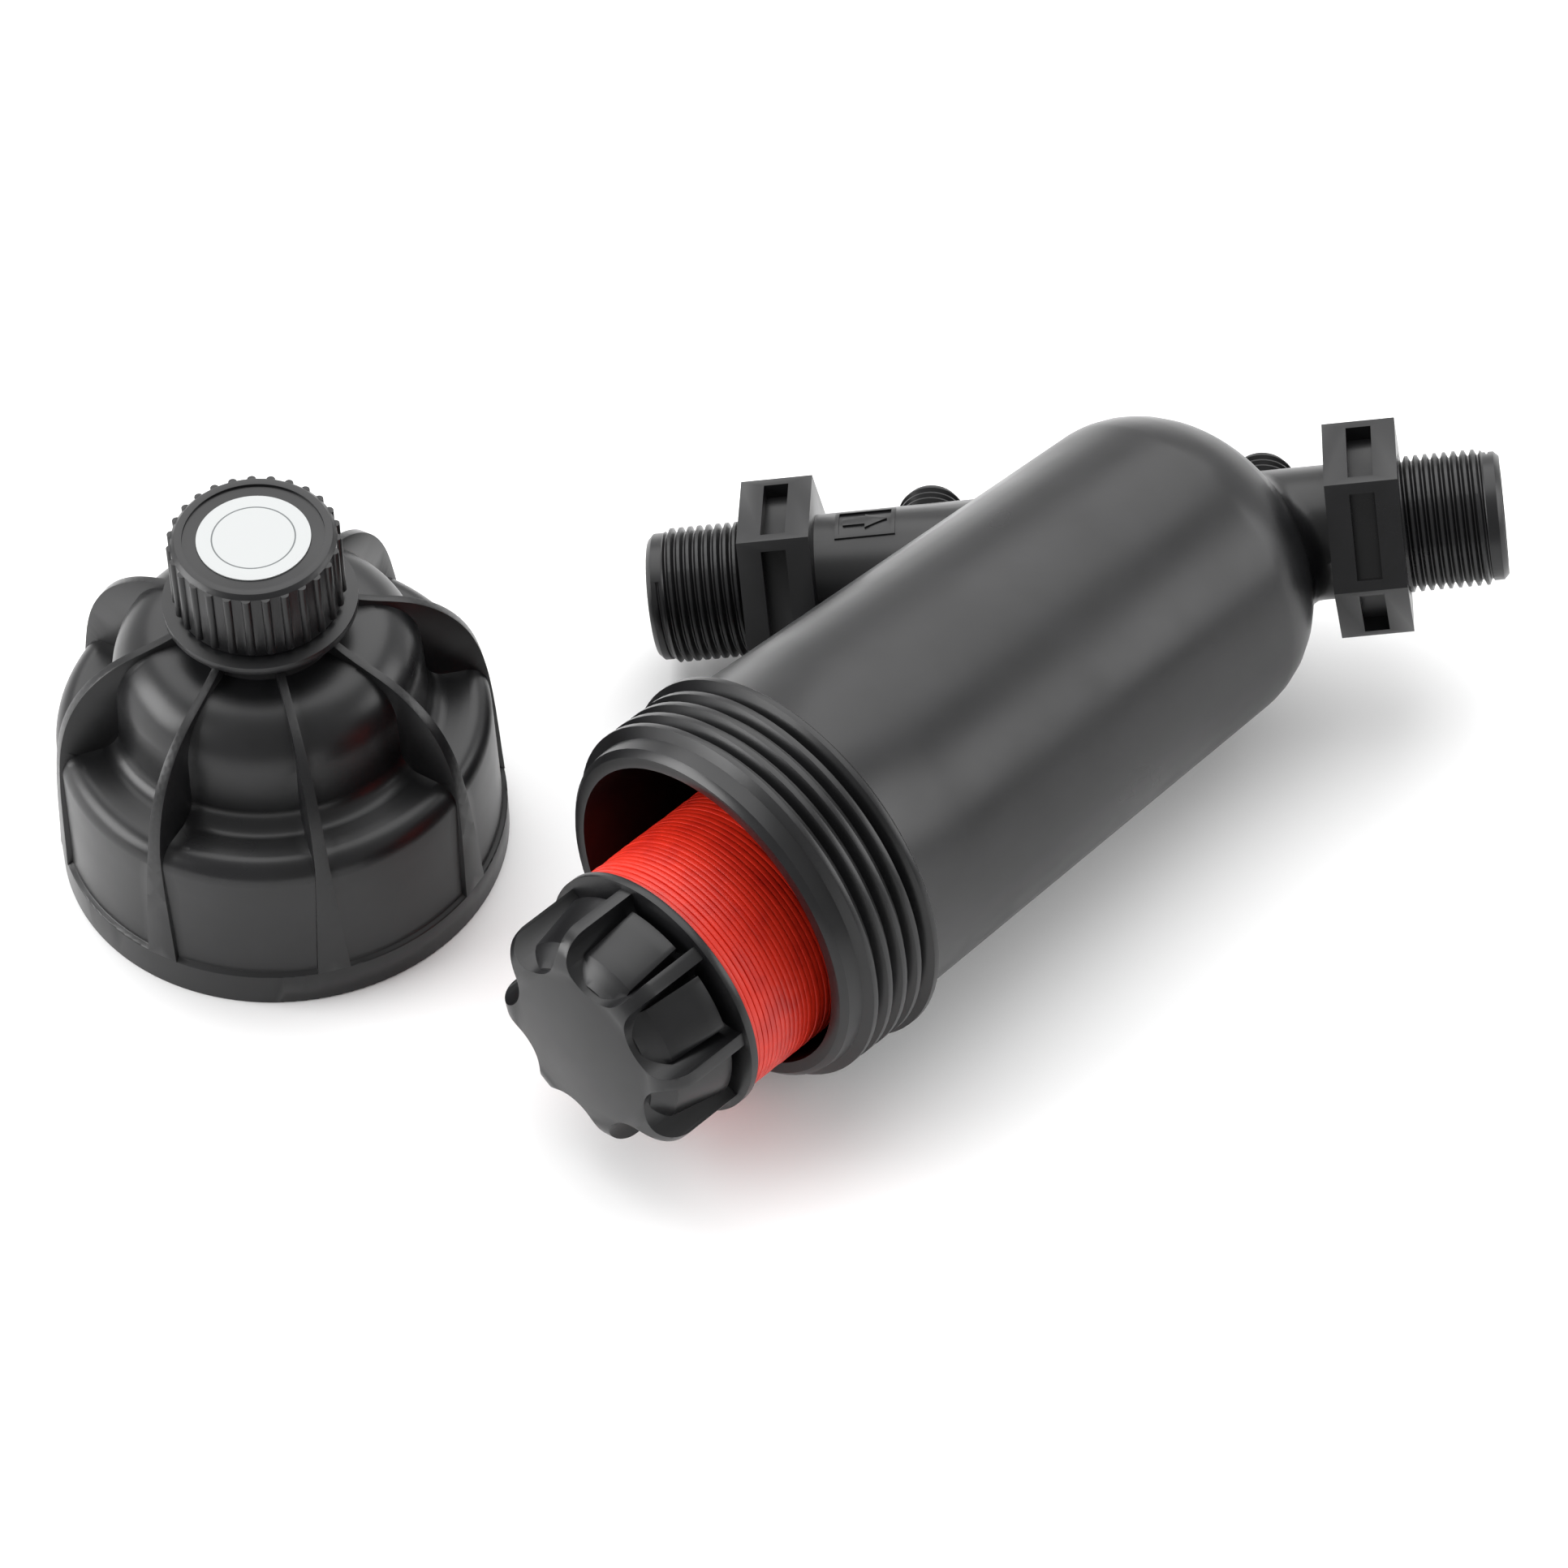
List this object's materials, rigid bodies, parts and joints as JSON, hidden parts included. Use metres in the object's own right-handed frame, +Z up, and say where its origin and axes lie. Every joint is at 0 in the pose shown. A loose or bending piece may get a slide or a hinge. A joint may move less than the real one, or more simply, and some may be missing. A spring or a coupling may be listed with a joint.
{
  "type": "y filter",
  "caption": "Y-type disc filter in black plastic, open: its red disc cartridge is drawn out of the slanted housing and its ribbed cover stands beside it.",
  "frame": {"origin": "middle of the floor area under the whole object, on the floor", "axes": "+Z up, +X along the pipe from inlet to outlet (within a few degrees), -Y towards the side the mouth opens to"},
  "size_m": [0.2804, 0.1602, 0.0828],
  "materials": {
    "black_plastic": "moulded glass-filled polypropylene, black, low sheen",
    "red_plastic": "moulded polypropylene discs, red",
    "seal_rubber": "moulded nitrile rubber, black",
    "label_paper": "plain white film label"
  },
  "bodies": {
    "housing": {"filter_body": "black_plastic", "cover": "black_plastic", "cover_seal": "seal_rubber"},
    "cartridge": {"cartridge_spine": "black_plastic", "spigot_ring": "seal_rubber", "disc_stack": "red_plastic"},
    "knob_thread": {"knob_seal": "seal_rubber"},
    "knob": {"end_knob": "black_plastic"},
    "cap_thread": {"drain_gasket": "seal_rubber"},
    "cap": {"drain_cap": "black_plastic", "cap_label": "label_paper"}
  },
  "joints": [
    {"name": "cartridge_slide", "type": "slide", "parent": "housing", "child": "cartridge", "axis": [-0.7035, -0.7094, 0.0435], "range_m": [0, 0.1]},
    {"name": "knob_travel", "type": "slide", "parent": "cartridge", "child": "knob_thread", "axis": [-0.7035, -0.7094, 0.0435], "range_m": [0, 0.009]},
    {"name": "knob_turn", "type": "hinge", "parent": "knob_thread", "child": "knob", "pos_m": [0.06208, 0.03552, 0.02815], "axis": [-0.7035, -0.7094, 0.0435], "range_deg": [0, 1080]},
    {"name": "cap_travel", "type": "slide", "parent": "housing", "child": "cap_thread", "axis": [0, 0, 1], "range_m": [0, 0.009]},
    {"name": "cap_turn", "type": "hinge", "parent": "cap_thread", "child": "cap", "pos_m": [-0.09721, 0.01718, 0.0671], "axis": [0, 0, 1], "range_deg": [0, 1080]}
  ],
  "couplings": [
    {"joint": "knob_travel", "follows": "knob_turn", "m_per_rad": 0.00047699},
    {"joint": "cap_travel", "follows": "cap_turn", "m_per_rad": 0.00047699}
  ]
}
